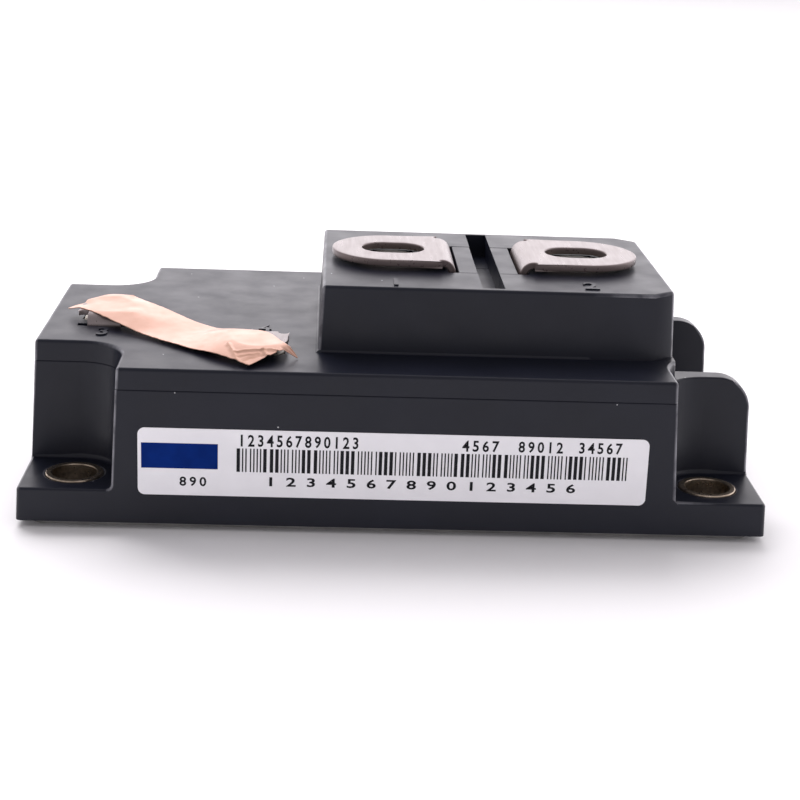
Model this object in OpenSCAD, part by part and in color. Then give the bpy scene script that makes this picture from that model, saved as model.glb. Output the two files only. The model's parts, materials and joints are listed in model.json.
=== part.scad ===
// Single-switch power transistor module in a low moulded case, with two
// screw terminals on a raised tower and two small control terminals.
// Origin: centre of the base plate's underside. +X runs along the case from
// the control end to the power end, +Y to the back and +Z up. Millimetres.

/* [Case] */
// Length of the case over its corner flanges
case_l = 108; // [106:0.5:112]
// Width of the case
case_w = 62; // [61:0.5:66]
// Height of the frame moulding
frame_h = 19.8; // [18:0.2:24]
// Thickness of the corner flanges
flange_t = 4.9; // [4:0.1:6]
// Height of the lid's flat top above the seam with the frame
lid_h = 3.1; // [2.8:0.1:5]
// Wall thickness of both mouldings at their root
wall = 2.4; // [2:0.1:2.8]
// Draft angle of the walls across the case's ends
draft_end = 2.7; // [1:0.1:3]
// Draft angle of the long side walls
draft_side = 1; // [0.2:0.1:1.4]
// Small radius on the outer vertical corners
corner_r = 0.8; // [0.4:0.1:1.5]

/* [Corner notches and ribs] */
// Length of the corner notches, in from the case's ends at the flange
notch_l = 13.6; // [13:0.1:14.6]
// Radius in the inner corner of each notch
notch_r = 6.2; // [4:0.1:6.6]
// Width of the notches beside the end block at the control end
block_notch_w = 13.4; // [12.5:0.1:14.5]
// Width of the notches beside the ribs at the power end
rib_notch_w = 13; // [12.5:0.1:14]
// Thickness of each end rib
rib_t = 3.5; // [2.5:0.1:4.5]
// Radius on the upper outer corner of each rib
rib_r = 5; // [3:0.5:8]
// Height of the ribs above the seam
rib_rise = 0.2; // [0:0.1:0.6]
// How far the end wall between the ribs stands out past the notch walls
end_step = 1.5; // [1.2:0.1:2]

/* [Base plate] */
// How far the base plate's ends lie in from the case's ends
base_end_in = 1.8; // [1.6:0.1:2.5]
// How far the base plate's long sides lie in from the case's sides
base_side_in = 1.7; // [1.6:0.1:2.2]
// Thickness of the base plate
base_t = 3; // [2.5:0.1:3.5]
// How far the base plate stands proud of the frame's underside
base_drop = 1; // [0.6:0.1:1.4]
// Corner radius of the base plate
base_r = 2; // [1:0.5:3]

/* [Mounting holes] */
// Distance of the mounting holes from the case's ends
mount_end_in = 7.5; // [7:0.25:8]
// Distance of the mounting holes from the case's sides
mount_side_in = 7; // [6.5:0.25:7.5]
// Diameter of the mounting holes
mount_d = 6.5; // [5.5:0.1:6.6]
// Outer diameter of the pressed-in bushings
bushing_d = 8.4; // [8:0.1:9]
// How far a bushing stands proud of its flange
bushing_rise = 0.15; // [0:0.05:0.4]

/* [Terminal tower] */
// Distance from the emitter screw to the tower's foot at the control end
tower_screw_in = 11.15; // [10.5:0.05:12]
// Width of the tower at its foot
tower_w = 40.1; // [39:0.1:42]
// Height of the tower above the lid
tower_h = 9.9; // [9:0.1:14]
// Draft angle of the tower's walls
draft_tower = 2.7; // [1:0.1:3]
// Tower corner chamfer, along the case
tower_cx = 3.3; // [2:0.1:4]
// Tower corner chamfer, across the case
tower_cy = 2.5; // [1.5:0.1:3.5]
// Thickness of the tower's roof
roof_t = 2.5; // [2:0.1:3]
// Width of the creepage groove between the terminals
groove_w = 3.3; // [2.5:0.1:4]
// Length of the creepage groove
groove_l = 36.8; // [34:0.1:37.2]
// Depth of the creepage groove
groove_d = 3.5; // [2:0.1:4.5]
// Length of the insulating spacer between the terminal legs
spacer_l = 9; // [8.6:0.1:9.4]
// Width of the insulating spacer
spacer_w = 18; // [17.6:0.1:19]

/* [Power terminals] */
// Distance between the two power screws
power_pitch = 28.5; // [28:0.1:29]
// Width of a power terminal's plate
power_w = 17.4; // [15:0.1:18]
// Thickness of the power terminals
power_t = 1.1; // [0.8:0.1:1.3]
// Distance from the screw to the plate's round end
power_end = 9.4; // [9:0.1:10.5]
// Width of the terminal's screw slot
power_slot_w = 7; // [6.6:0.1:8]
// Length of the terminal's screw slot
power_slot_l = 9.6; // [8:0.1:10]
// Clearance under the plate, above the tower's roof
power_gap = 0.5; // [0.3:0.05:0.8]
// Width of the leg that passes through the roof
power_leg_w = 15.5; // [12:0.1:16.5]
// Width across the flats of the power nuts
power_nut_af = 10; // [9:0.1:11]
// Height of the power nuts
power_nut_h = 5; // [4:0.1:5.5]
// Thread bore of the power nuts
power_nut_d = 5; // [4:0.1:5.4]

/* [Control terminals] */
// Width of a control terminal's plate
control_w = 8; // [7.5:0.1:8.4]
// Thickness of the control terminals
control_t = 0.8; // [0.5:0.1:1]
// Distance from the screw to the plate's round end
control_end = 4.1; // [4:0.1:5]
// Distance from the screw to the outer face of the bent leg
control_bend = 5.6; // [5.4:0.1:6]
// Diameter of the screw hole
control_hole_d = 4.5; // [4.2:0.1:5]
// Clearance under the plate, above the lid
control_gap = 0.9; // [0.3:0.1:1.2]
// Distance of the sense screw from the case's end
sense_end_in = 10; // [9.5:0.1:10.5]
// How far the sense screw lies in front of the case's middle line
sense_front = 3; // [2:0.5:4]
// Distance of the gate screw from the tower's foot
gate_tower_gap = 8.35; // [8:0.1:9]
// Distance of the gate screw from the case's front
gate_front_in = 11.6; // [11.4:0.1:13]
// Width of the leg that passes through the lid
control_leg_w = 5; // [3:0.1:6]
// Width across the flats of the control nuts
control_nut_af = 7; // [6:0.1:7.5]
// Height of the control nuts
control_nut_h = 3.2; // [2.4:0.1:3.6]
// Thread bore of the control nuts
control_nut_d = 3.3; // [2.8:0.1:3.6]

/* [Power circuit] */
// Gap between the two ceramic substrates
ceramic_gap = 2; // [1.5:0.5:4]
// Gap from the substrates to the frame's end walls
ceramic_end_gap = 1; // [0.8:0.1:2]
// Width of the gate and emitter pads, between the two rows of chips
inner_pad_w = 16.5; // [16:0.1:17]
// Thickness of the ceramic
ceramic_t = 0.65; // [0.4:0.05:1]
// Thickness of the copper bonded to each side of the ceramic
copper_t = 0.3; // [0.2:0.05:0.5]
// Bare ceramic left around the copper
copper_rim = 1; // [0.5:0.1:1.5]
// Isolation gap between copper pads
pad_gap = 1; // [0.6:0.1:1.2]
// Side of a transistor chip
switch_chip = 13; // [11:0.1:13.5]
// Side of a diode chip
diode_chip = 10; // [8:0.1:11]
// Thickness of the chips
chip_t = 0.2; // [0.1:0.05:0.4]
// Diameter of the bond wires
wire_d = 0.4; // [0.2:0.05:0.5]
// Height of a bond wire's loop above the chips
loop_h = 2.2; // [1.2:0.1:3]
// Height of the silicone gel above the base plate
gel_h = 10; // [8:0.5:12]

/* [Label and foil] */
// Length of the label
label_l = 72.6; // [60:0.1:76]
// Height of the label
label_h = 9.95; // [8:0.05:12]
// Height of the label's lower edge
label_z = 5.43; // [4.5:0.01:6.5]
// Thickness of the label
label_t = 0.1; // [0.05:0.01:0.2]
// Length of the copper shorting foil
foil_l = 39; // [36:0.5:41]
// Width of the copper shorting foil
foil_w = 11.2; // [9:0.1:12]
// Thickness of the foil
foil_t = 0.15; // [0.1:0.05:0.3]

/* [Hidden] */
$fn = 48;
eps = 0.01;
fit = 0.15;                             // clearance all round pieces that drop in
seat_gap = 0.02;                        // clearance of glued, pressed and soldered faces

// Heights above the base plate's underside
frame_z = base_drop;                    // underside of the frame
flange_z = frame_z + flange_t;
seam_z = frame_z + frame_h;
lid_z = seam_z + lid_h;
tower_z = lid_z + tower_h;

// Plan sizes that follow the case
base_l = case_l - 2 * base_end_in;
base_w = case_w - 2 * base_side_in;
mount_x = case_l - 2 * mount_end_in;
mount_y = case_w - 2 * mount_side_in;
notch_x = case_l / 2 - notch_l;         // notch walls, from the centre
block_w = case_w - 2 * block_notch_w;   // end block at the control end
rib_span = case_w - 2 * rib_notch_w;    // over the two end ribs

// Leaning walls: how far each kind has moved in at a height above its foot
function end_lean(h) = tan(draft_end) * h;
function side_lean(h) = tan(draft_side) * h;

// The tower's far wall stands flush with the lid's end above the ribs
end_x = notch_x + end_step;
tower_end = end_x - end_lean(lid_z - flange_z);
lid_t = 2.2;                            // thickness of the lid's plate
lip_t = 1.2;                            // locating lip below the lid
lip_h = 2.5;
lip_inset = fit + lip_t;

// Power terminals: the emitter leg stands on its pad, and the screws follow
power_z = tower_z + power_gap + power_t;      // top of the plates
spacer_gap = 0.35;                            // visible slot beside each leg
gate_pad_l = 2;
leg_in = 4;                                   // in from the emitter pad's inner end
power_x = ceramic_gap / 2 + copper_rim + gate_pad_l + pad_gap + leg_in + spacer_l / 2 + spacer_gap;
tower_foot = power_x - power_pitch / 2 - tower_screw_in;
tower_l = tower_end - tower_foot;
tower_mid = (tower_end + tower_foot) / 2;
power_bend = power_pitch / 2 - spacer_l / 2 - spacer_gap;
power_bend_r = 1;                             // inside radius of the bend
spacer_h = 9;
spacer_ear = 2;
pocket_d = power_nut_d + 1.4;                 // room for the screw's end under the nut
pocket_h = 9.5;                               // depth from the roof to the pocket's floor
boss_wall = 1.2;

// Control terminals: screw places and the way each one's leg lies
control_z = lid_z + control_gap + control_t;
control_bend_r = 1;
sense_at = [-case_l / 2 + sense_end_in, -sense_front];
gate_at = [tower_foot - gate_tower_gap, -case_w / 2 + gate_front_in];
control_pocket_h = 6.5;
control_boss_z = lid_z - control_pocket_h - boss_wall;
leg_stub = 4;                                 // leg's length below the nut's boss
control_leg_z = control_boss_z - leg_stub;

// Circuit
circuit_z = base_t + 2 * copper_t + ceramic_t;    // top of the copper pads
chip_z = circuit_z + chip_t;
ceramic_l = notch_x - wall - ceramic_end_gap - ceramic_gap / 2;
ceramic_x = (ceramic_gap + ceramic_l) / 2;
pad_l = ceramic_l - 2 * copper_rim;
switch_in = 2.5;                        // from the pad's inner end to the transistors
diode_in = 3;                           // from the pad's outer end to the diodes
row_in = 1.5;                           // from the pad's long sides to the chips
chip_rim = 0.25;                        // copper left beside a chip
switch_x = -pad_l / 2 + switch_in + switch_chip / 2;
diode_x = pad_l / 2 - diode_in - diode_chip / 2;
row_y = inner_pad_w / 2 + pad_gap + chip_rim + switch_chip / 2;
pad_w = 2 * (row_y + switch_chip / 2 + row_in);
ceramic_w = pad_w + 2 * copper_rim;
emitter_pad_l = 10;
foot_l = 3;

// Bond wires: how far each weld lies in from the edge of its chip or pad, and
// the reach from weld to weld
emitter_weld_in = 3.5;
emitter_pad_weld_in = 2.75;
emitter_reach = emitter_weld_in + chip_rim + pad_gap + emitter_pad_weld_in;
emitter_pitch = 0.95;
gate_weld_in = [0.5, 0.7];
gate_pad_weld_in = 0.55;
gate_reach = [switch_in + gate_weld_in[0] - gate_pad_l / 2,
              gate_weld_in[1] + chip_rim + pad_gap + gate_pad_weld_in];
diode_weld_in = 3;
switch_weld_in = 2;
diode_pitch = 2.4;
link_pitch = 1.2;
gate_link_y = 0.8;
emitter_link_y = 3.4;
emitter_link_in = 0.4;
collector_link_pitch = 1.5;
collector_link_in = 1.25;
inner_l = gate_pad_l + pad_gap + emitter_pad_l;
gate_pad_x = -pad_l / 2;
emitter_pad_x = gate_pad_x + gate_pad_l + pad_gap;

// Leads from the control legs to the left-hand substrate
lead_d = 1.4;
lead_r = 4;
lead_z = circuit_z + seat_gap + 2 * lead_r;       // where the drop turns level
lead_lap = 3;                                     // soldered along the leg
lead_top = control_leg_z + lead_lap;
lead_in = control_bend - control_t - lead_d / 2 - seat_gap;
sense_land = [4, 1.17];                           // in from the emitter pad's end and front
gate_land = [gate_pad_l / 2, 2.35];               // in from the gate pad's end and front
sense_run = [-ceramic_x - emitter_pad_x - sense_land[0] - sense_at[0],
             -inner_pad_w / 2 + sense_land[1] - sense_at[1] + lead_in];
gate_run = [-ceramic_x - gate_pad_x - gate_land[0] - gate_at[0],
            -inner_pad_w / 2 + gate_land[1] - gate_at[1] - lead_in];

// Label and foil
label_x = -0.25;
label_r = 1;
control_span = gate_at - sense_at;
foil_at = (sense_at + gate_at) / 2 + [0.05, -0.9];
foil_turn = -7.8;                                 // askew from the line between the screws
foil_angle = atan2(control_span[1], control_span[0]) + foil_turn;
foil_on = norm(control_span) / 2 - 6.3;           // the plates' nearest corners, along
foil_off = norm(control_span) / 2 - 7.3;          // the foil from its middle
foil_ramp = 4.5;
foil_rest = 0.1;
foil_lift = 0.05;

// ---- Shared shapes -------------------------------------------------------

module both_sides() {
    children();
    mirror([0, 1, 0]) children();
}

module at_mounting_holes() {
    for (x = [-1, 1], y = [-1, 1])
        translate([x * mount_x / 2, y * mount_y / 2, 0]) children();
}

module rounded_rect(l, w, r) {
    square([l - 2 * r, w], center = true);
    square([l, w - 2 * r], center = true);
    for (x = [-1, 1], y = [-1, 1])
        translate([x * (l / 2 - r), y * (w / 2 - r)]) circle(r);
}

// Hexagonal nut blank, across the flats af
module hexagon(af) {
    circle(d = af / cos(30), $fn = 6);
}

// ---- Case ----------------------------------------------------------------

// Outer block of both mouldings, from the frame's underside up. Its walls
// lean in with height, as they do to leave the mould.
module block(h) {
    translate([0, 0, frame_z])
        linear_extrude(height = h, slices = 1, scale = [1 - 2 * end_lean(h) / case_l,
                                                        1 - 2 * side_lean(h) / case_w])
            rounded_rect(case_l, case_w, corner_r);
}

// A cut that opens outward and upward from the flange: depth and width are
// its reach in from the block's outer faces, and r rounds its inner corner
module leaning_cut(depth, width, r) {
    h = frame_h + lid_h + tower_h;
    over = 5;
    linear_extrude(height = h, slices = 1,
                   scale = [1 + end_lean(h) / depth, 1 + side_lean(h) / width]) {
        translate([-depth, -width + r]) square([depth + over, width - r + over]);
        translate([-depth + r, -width]) square([depth - r + over, r + eps]);
        translate([-depth + r, -width + r]) circle(r);
    }
}

module notches() {
    depth = case_l / 2 - notch_x;
    translate([0, 0, flange_z]) both_sides() {
        translate([case_l / 2, case_w / 2, 0])
            leaning_cut(depth, (case_w - rib_span) / 2, notch_r);
        mirror([1, 0, 0]) translate([case_l / 2, case_w / 2, 0])
            leaning_cut(depth, (case_w - block_w) / 2, notch_r);
    }
}

// Clears the power end, over a width w, down to the drafted end wall
module end_cut(w) {
    h = frame_h + lid_h;
    depth = case_l / 2 - end_x;
    translate([case_l / 2, 0, flange_z])
        linear_extrude(height = h, slices = 1,
                       scale = [1 + end_lean(h) / depth, 1 + 2 * side_lean(h) / w])
            translate([-depth, -w / 2]) square([2 * depth, w]);
}

// Inside of the case, drawn in from the frame's own inner faces by inset
module cavity_plan(inset = 0) {
    square([2 * (notch_x - wall - inset), case_w - 2 * (wall + inset)], center = true);
    translate([-case_l / 2 + wall + inset, -block_w / 2 + wall + inset])
        square([case_l / 2, block_w - 2 * (wall + inset)]);
}

// Rounds the upper outer corner of both ribs
module rib_rounding() {
    top = seam_z + rib_rise;
    x = case_l / 2 - end_lean(top - rib_r - frame_z) - rib_r;
    translate([0, case_w / 2, 0]) rotate([90, 0, 0]) linear_extrude(case_w) difference() {
        translate([x, top - rib_r]) square(3 * rib_r);
        translate([x, top - rib_r]) circle(rib_r);
    }
}

module case_frame() color([0.13, 0.13, 0.15]) difference() {
    block(frame_h + rib_rise);
    notches();
    end_cut(rib_span - 2 * rib_t);
    rib_rounding();
    // the lid's seat, up to where the ribs begin
    translate([-case_l, -case_w, seam_z])
        cube([case_l + end_x - end_lean(seam_z - flange_z) + fit, 2 * case_w, frame_h]);
    // seat for the base plate
    translate([0, 0, -eps])
        linear_extrude(base_t + eps) rounded_rect(base_l + 2 * fit, base_w + 2 * fit, base_r);
    linear_extrude(seam_z + eps) cavity_plan();
    at_mounting_holes() cylinder(d = bushing_d + 2 * seat_gap, h = flange_z + eps);
}

module tower_plan(inset = 0) {
    l = tower_l / 2 - inset;
    w = tower_w / 2 - inset;
    polygon([[-l, -w], [l - tower_cx, -w], [l, -w + tower_cy],
             [l, w - tower_cy], [l - tower_cx, w], [-l, w]]);
}

module tower_outer() {
    lean = 2 * tan(draft_tower) * tower_h;
    translate([tower_mid, 0, lid_z - eps])
        linear_extrude(height = tower_h + eps, slices = 1,
                       scale = [1 - lean / tower_l, 1 - lean / tower_w])
            tower_plan();
}

module lid_outer() {
    difference() {
        block(frame_h + lid_h);
        notches();
        end_cut(2 * case_w);
        translate([-case_l, -case_w, 0]) cube([2 * case_l, 2 * case_w, seam_z]);
    }
}

// The three nut seats take the same form: a solid boss under the roof
module boss(af, h) {
    cylinder(d = af / cos(30) + 2 * (fit + boss_wall), h = h);
}

module nut_pocket(af, nut_h, screw_d, h) {
    translate([0, 0, -nut_h - 2 * seat_gap])
        linear_extrude(nut_h + 2 * seat_gap + eps) hexagon(af + 2 * fit);
    translate([0, 0, -h]) cylinder(d = screw_d, h = h);
}

module at_power_screws() {
    for (side = [0, 1])
        translate([power_x, 0, 0]) mirror([side, 0, 0])
            translate([-power_pitch / 2, 0, 0]) children();
}

module at_control_screws() {
    translate(sense_at) rotate(-90) children();
    translate(gate_at) rotate(90) children();
}

module lid() color([0.15, 0.15, 0.17]) difference() {
    union() {
        difference() {
            union() {
                lid_outer();
                tower_outer();
                // locating lip inside the frame
                translate([0, 0, seam_z - lip_h])
                    linear_extrude(lip_h + eps) cavity_plan(fit);
            }
            translate([0, 0, seam_z - lip_h - eps])
                linear_extrude(lip_h + lid_h - lid_t + eps) cavity_plan(lip_inset);
            // inside of the tower, open to the case below
            translate([tower_mid, 0, seam_z])
                linear_extrude(tower_z - roof_t - seam_z)
                    intersection() {
                        tower_plan(wall);
                        translate([-tower_mid, 0]) cavity_plan(lip_inset);
                    }
        }
        at_power_screws() translate([0, 0, tower_z - pocket_h - boss_wall])
            boss(power_nut_af, pocket_h + boss_wall - eps);
        at_control_screws() translate([0, 0, control_boss_z])
            boss(control_nut_af, lid_z - control_boss_z - eps);
        // trough that carries the creepage groove below the roof
        translate([power_x - groove_w / 2 - boss_wall, -groove_l / 2 - eps, tower_z - groove_d - boss_wall])
            cube([groove_w + 2 * boss_wall, groove_l + 2 * eps, groove_d + boss_wall - eps]);
    }
    // opening for the spacer and the two power legs
    translate([power_x, 0, tower_z - 2 * roof_t - groove_d])
        linear_extrude(2 * roof_t + groove_d + eps)
            square([spacer_l + 2 * (spacer_gap + power_t + fit), spacer_w + 2 * fit], center = true);
    creepage_groove();
    at_power_screws() translate([0, 0, tower_z])
        nut_pocket(power_nut_af, power_nut_h, pocket_d, pocket_h);
    at_control_screws() translate([0, 0, lid_z]) {
        nut_pocket(control_nut_af, control_nut_h, control_nut_d + 1, control_pocket_h);
        translate([control_bend - control_t - 2 * fit, -control_w / 2, control_boss_z - lid_z - eps])
            cube([control_t + 4 * fit, control_w, lid_z - control_boss_z + 2 * eps]);
    }
}

module creepage_groove() {
    translate([power_x - groove_w / 2, -groove_l / 2, tower_z - groove_d])
        cube([groove_w, groove_l, groove_d + eps]);
}

// Insulating block between the two power legs, with ears under the roof
module tower_spacer() color([0.16, 0.16, 0.18]) difference() {
    translate([power_x, 0, tower_z - spacer_h]) {
        linear_extrude(spacer_h) square([spacer_l, spacer_w], center = true);
        linear_extrude(spacer_h - roof_t - groove_d)
            square([spacer_l, spacer_w + 2 * spacer_ear], center = true);
    }
    creepage_groove();
}

module base_plate() color([0.75, 0.74, 0.72]) difference() {
    linear_extrude(base_t) rounded_rect(base_l, base_w, base_r);
    at_mounting_holes() translate([0, 0, -eps]) cylinder(d = mount_d, h = base_t + 2 * eps);
}

module mounting_bushings() color([0.55, 0.5, 0.38]) at_mounting_holes()
    translate([0, 0, base_t]) difference() {
        cylinder(d = bushing_d, h = flange_z + bushing_rise - base_t);
        translate([0, 0, -eps]) cylinder(d = mount_d, h = flange_z);
    }

// ---- Terminals and nuts --------------------------------------------------

// Plate with a round end, bent down into a leg with a foot turned under it.
// Drawn with the screw on the Z axis, its top at z = 0 and the leg towards +X.
module bent_terminal(w, t, end, bend, r, leg_w, leg_l, foot) {
    flat = bend - t - r;
    difference() {
        translate([0, 0, -t]) linear_extrude(t) {
            intersection() {
                translate([w / 2 - end, 0]) circle(w / 2);
                translate([-end, -w / 2]) square([w / 2, w]);
            }
            translate([w / 2 - end - eps, -w / 2]) square([flat + end - w / 2 + eps, w]);
        }
        children();
        // small round reliefs where the plate narrows to the leg
        for (y = [-1, 1])
            translate([flat, y * (leg_w + w) / 4, -t - eps])
                cylinder(d = (w - leg_w) / 2, h = t + 2 * eps);
    }
    translate([flat, -leg_w / 2, -t - r]) rotate([90, 0, 0])
        rotate_extrude(angle = 90) translate([r, -leg_w]) square([t, leg_w]);
    translate([bend - t, -leg_w / 2, -leg_l]) cube([t, leg_w, leg_l - t - r + eps]);
    translate([bend - foot, -leg_w / 2, -leg_l]) cube([foot, leg_w, t]);
}

module power_terminal() {
    translate([0, 0, power_z])
        bent_terminal(power_w, power_t, power_end, power_bend, power_bend_r,
                      power_leg_w, power_z - circuit_z - seat_gap, foot_l)
            translate([0, 0, -power_t - eps]) linear_extrude(power_t + 2 * eps) {
                for (x = [-1, 1])
                    translate([x * (power_slot_l - power_slot_w) / 2, 0]) circle(d = power_slot_w);
                square([power_slot_l - power_slot_w, power_slot_w], center = true);
            }
}

module emitter_terminal() color([0.85, 0.8, 0.79])
    translate([power_x - power_pitch / 2, 0, 0]) power_terminal();

module collector_terminal() color([0.85, 0.8, 0.79])
    translate([power_x + power_pitch / 2, 0, 0]) mirror([1, 0, 0]) power_terminal();

module control_terminal() {
    translate([0, 0, control_z])
        bent_terminal(control_w, control_t, control_end, control_bend, control_bend_r,
                      control_leg_w, control_z - control_leg_z, control_t)
            translate([0, 0, -control_t - eps])
                cylinder(d = control_hole_d, h = control_t + 2 * eps);
}

module sense_terminal() color([0.82, 0.74, 0.72])
    translate(sense_at) rotate(-90) control_terminal();

module gate_terminal() color([0.82, 0.74, 0.72])
    translate(gate_at) rotate(90) control_terminal();

module nut(af, h, d) {
    translate([0, 0, -h - seat_gap]) difference() {
        intersection() {
            linear_extrude(h) hexagon(af);
            // corners turned to a chamfer
            rotate_extrude() polygon([[0, 0], [af / 2, 0], [af, af * tan(30) / 2],
                                      [af, h - af * tan(30) / 2], [af / 2, h], [0, h]]);
        }
        translate([0, 0, -eps]) cylinder(d = d, h = h + 2 * eps);
    }
}

module power_nuts() color([0.6, 0.58, 0.52]) at_power_screws()
    translate([0, 0, tower_z]) nut(power_nut_af, power_nut_h, power_nut_d);

module control_nuts() color([0.6, 0.58, 0.52]) at_control_screws()
    translate([0, 0, lid_z]) nut(control_nut_af, control_nut_h, control_nut_d);

// ---- Power circuit ---------------------------------------------------------
// Everything here is drawn for the right-hand substrate, about its own centre,
// and mirrored for the left-hand one, so that the gate pads face each other.

module on_substrate(side) {
    mirror([side == "left" ? 1 : 0, 0, 0]) translate([ceramic_x, 0, 0]) children();
}

module slab(l, w, z, h) {
    translate([0, 0, z]) linear_extrude(h) square([l, w], center = true);
}

module back_copper(side) color([0.8, 0.5, 0.35])
    on_substrate(side) slab(pad_l, pad_w, base_t, copper_t);

module ceramic(side) color([0.95, 0.95, 0.92])
    on_substrate(side) slab(ceramic_l, ceramic_w, base_t + copper_t, ceramic_t);

// Collector pad round three sides, with the gate strip and the emitter pad
// let into the fourth
module circuit_copper(side) color([0.8, 0.5, 0.35]) on_substrate(side)
    translate([-pad_l / 2, 0, circuit_z - copper_t]) linear_extrude(copper_t) {
        difference() {
            translate([0, -pad_w / 2]) square([pad_l, pad_w]);
            translate([-eps, -inner_pad_w / 2 - pad_gap])
                square([inner_l + pad_gap, inner_pad_w + 2 * pad_gap]);
        }
        translate([0, -inner_pad_w / 2]) square([gate_pad_l, inner_pad_w]);
        translate([gate_pad_l + pad_gap, -inner_pad_w / 2]) square([emitter_pad_l, inner_pad_w]);
    }

// Chips are numbered 1 and 2 on the left and 3 and 4 on the right
function chip_side(n) = n < 3 ? "left" : "right";
function chip_row(n) = n % 2 == 1 ? -row_y : row_y;

module transistor_chip(n) color([0.35, 0.36, 0.4]) on_substrate(chip_side(n))
    translate([switch_x, chip_row(n), 0]) slab(switch_chip, switch_chip, circuit_z, chip_t);

module diode_chip(n) color([0.45, 0.45, 0.48]) on_substrate(chip_side(n))
    translate([diode_x, chip_row(n), 0]) slab(diode_chip, diode_chip, circuit_z, chip_t);

// One wire, from the origin to a point span away along X: a shallow arc that
// is cut flat where it is welded down, with one end reaching drop lower
module bond_wire(span, rise, drop) {
    radius = (span * span / 4 + rise * rise) / (2 * rise);
    sweep = 2 * asin(span / 2 / radius);
    difference() {
        translate([span / 2, 0, rise - radius]) rotate([90, sweep / 2 - 90, 0])
            rotate_extrude(angle = sweep) translate([radius, 0]) circle(d = wire_d, $fn = 24);
        translate([-wire_d, -wire_d, -2 * wire_d])
            cube([span + 2 * wire_d, 2 * wire_d, 2 * wire_d]);
    }
    translate([span, 0, -drop]) cylinder(d = wire_d, h = drop + wire_d / 2, $fn = 24);
}

// Emitter, gate and diode wires of one substrate
module bond_wires(side) color([0.85, 0.85, 0.86]) on_substrate(side) translate([0, 0, chip_z])
    both_sides() {
        for (i = [0:3])
            translate([emitter_pad_x + emitter_pad_l - (i + 1) * emitter_pitch,
                       row_y - switch_chip / 2 + emitter_weld_in, 0])
                rotate(-90) bond_wire(emitter_reach, loop_h, chip_t);
        translate([switch_x - switch_chip / 2 + gate_weld_in[0],
                   row_y - switch_chip / 2 + gate_weld_in[1], 0])
            rotate(180 + atan2(gate_reach[1], gate_reach[0]))
                bond_wire(norm(gate_reach), loop_h / 2, chip_t);
        diode_weld = diode_x - diode_chip / 2 + diode_weld_in;
        switch_weld = switch_x + switch_chip / 2 - switch_weld_in;
        for (i = [-1.5:1.5])
            translate([diode_weld, row_y + i * diode_pitch, 0])
                rotate(180) bond_wire(diode_weld - switch_weld, loop_h, 0);
    }

// Wires that join the like pads of the two substrates across the gap
module link(x, y) {
    translate([-x, y, circuit_z]) bond_wire(2 * x, loop_h, 0);
}

module link_wires() color([0.85, 0.85, 0.86]) {
    gate_x = ceramic_x + gate_pad_x + gate_pad_l / 2;
    emitter_x = ceramic_x + emitter_pad_x + emitter_link_in;
    collector_y = inner_pad_w / 2 + pad_gap + collector_link_in;
    for (i = [0, 1]) link(gate_x, gate_link_y + i * link_pitch);
    both_sides() {
        for (i = [0, 1]) link(emitter_x, emitter_link_y + i * link_pitch);
        for (i = [0:7]) link(gate_x, collector_y + i * collector_link_pitch);
    }
}

// Insulated lead from a control leg down to its pad: a straight drop, one
// round turn, a level run over the chips and a second turn on to the pad
module lead(top, run, d = lead_d) {
    level = run - 2 * lead_r;
    translate([0, 0, lead_z - eps]) cylinder(d = d, h = top - lead_z + eps);
    translate([lead_r, 0, lead_z]) rotate([90, 180, 0])
        rotate_extrude(angle = 90) translate([lead_r, 0]) circle(d = d);
    translate([lead_r, 0, lead_z - lead_r]) rotate([0, 90, 0]) cylinder(d = d, h = level);
    translate([lead_r + level, 0, lead_z - 2 * lead_r]) rotate([90, 0, 0])
        rotate_extrude(angle = 90) translate([lead_r, 0]) circle(d = d);
}

module at_sense_leg() {
    translate([sense_at[0], sense_at[1] - lead_in, 0]) rotate(atan2(sense_run[1], sense_run[0]))
        children();
}

module at_gate_leg() {
    translate([gate_at[0], gate_at[1] + lead_in, 0]) rotate(atan2(gate_run[1], gate_run[0]))
        children();
}

module sense_lead() color("firebrick") at_sense_leg() lead(lead_top, norm(sense_run));

module gate_lead() color("whitesmoke") at_gate_leg() lead(lead_top, norm(gate_run));

// Soft gel poured over the circuit, with room for the wires and the legs
module silicone_gel() color([0.9, 0.92, 0.95, 0.4]) difference() {
    translate([0, 0, base_t + seat_gap]) linear_extrude(gel_h) cavity_plan(seat_gap);
    slab(2 * (ceramic_x + ceramic_l / 2) + 2 * seat_gap, ceramic_w + 2 * seat_gap, 0,
         chip_z + loop_h + wire_d);
    at_power_screws()
        translate([power_bend - power_t - fit, -power_leg_w / 2 - fit, 0])
            cube([power_t + 2 * fit, power_leg_w + 2 * fit, seam_z]);
    at_control_screws()
        translate([control_bend - control_t - fit, -control_leg_w / 2 - fit, control_leg_z - fit])
            cube([control_t + 2 * fit, control_leg_w + 2 * fit, seam_z]);
    at_sense_leg() lead(seam_z, norm(sense_run), lead_d + 2 * fit);
    at_gate_leg() lead(seam_z, norm(gate_run), lead_d + 2 * fit);
}

// ---- Label and shorting foil -----------------------------------------------

// Paper label on the front wall, which leans back by its draft angle
module rating_label() color("white")
    translate([label_x, -case_w / 2, frame_z]) rotate([-draft_side, 0, 0])
        translate([0, -seat_gap, (label_z - frame_z) / cos(draft_side) + label_h / 2])
            rotate([90, 0, 0]) linear_extrude(label_t) rounded_rect(label_l, label_h, label_r);

// Height of the foil's underside at a distance s along it from its middle: up
// on both control terminals and down on the lid between them
function ease(t) = let(u = min(1, max(0, t))) u * u * (3 - 2 * u);
function foil_under(s) =
    let(up = control_z + foil_lift,
        down = lid_z + foil_rest,
        dip = ease((s + foil_on) / foil_ramp) * ease((foil_off - s) / foil_ramp))
    up - (up - down) * dip;

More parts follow.
